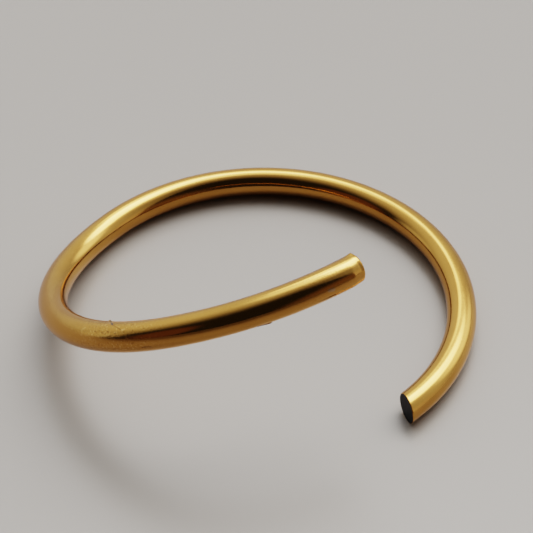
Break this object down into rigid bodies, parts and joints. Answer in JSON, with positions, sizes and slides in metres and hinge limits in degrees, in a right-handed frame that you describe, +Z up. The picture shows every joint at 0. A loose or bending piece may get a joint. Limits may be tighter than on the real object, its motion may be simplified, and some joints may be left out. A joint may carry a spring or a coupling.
{
  "type": "open nose ring hoop",
  "caption": "Plain round-wire nose ring: an open hoop twisted so that one cut end lies on the table and the other is lifted across it.",
  "frame": {"origin": "on the table that the hoop lies on, under the middle of its bounding box", "axes": "+Z up from the table; +X right and +Y back as seen from the side where the lifted end crosses in front"},
  "size_m": [0.012, 0.0108, 0.005],
  "materials": {
    "gold": "polished yellow gold over a brass core, with fine drawing lines and light wear"
  },
  "bodies": {
    "root": {"hoop_wire": "gold"}
  },
  "joints": []
}
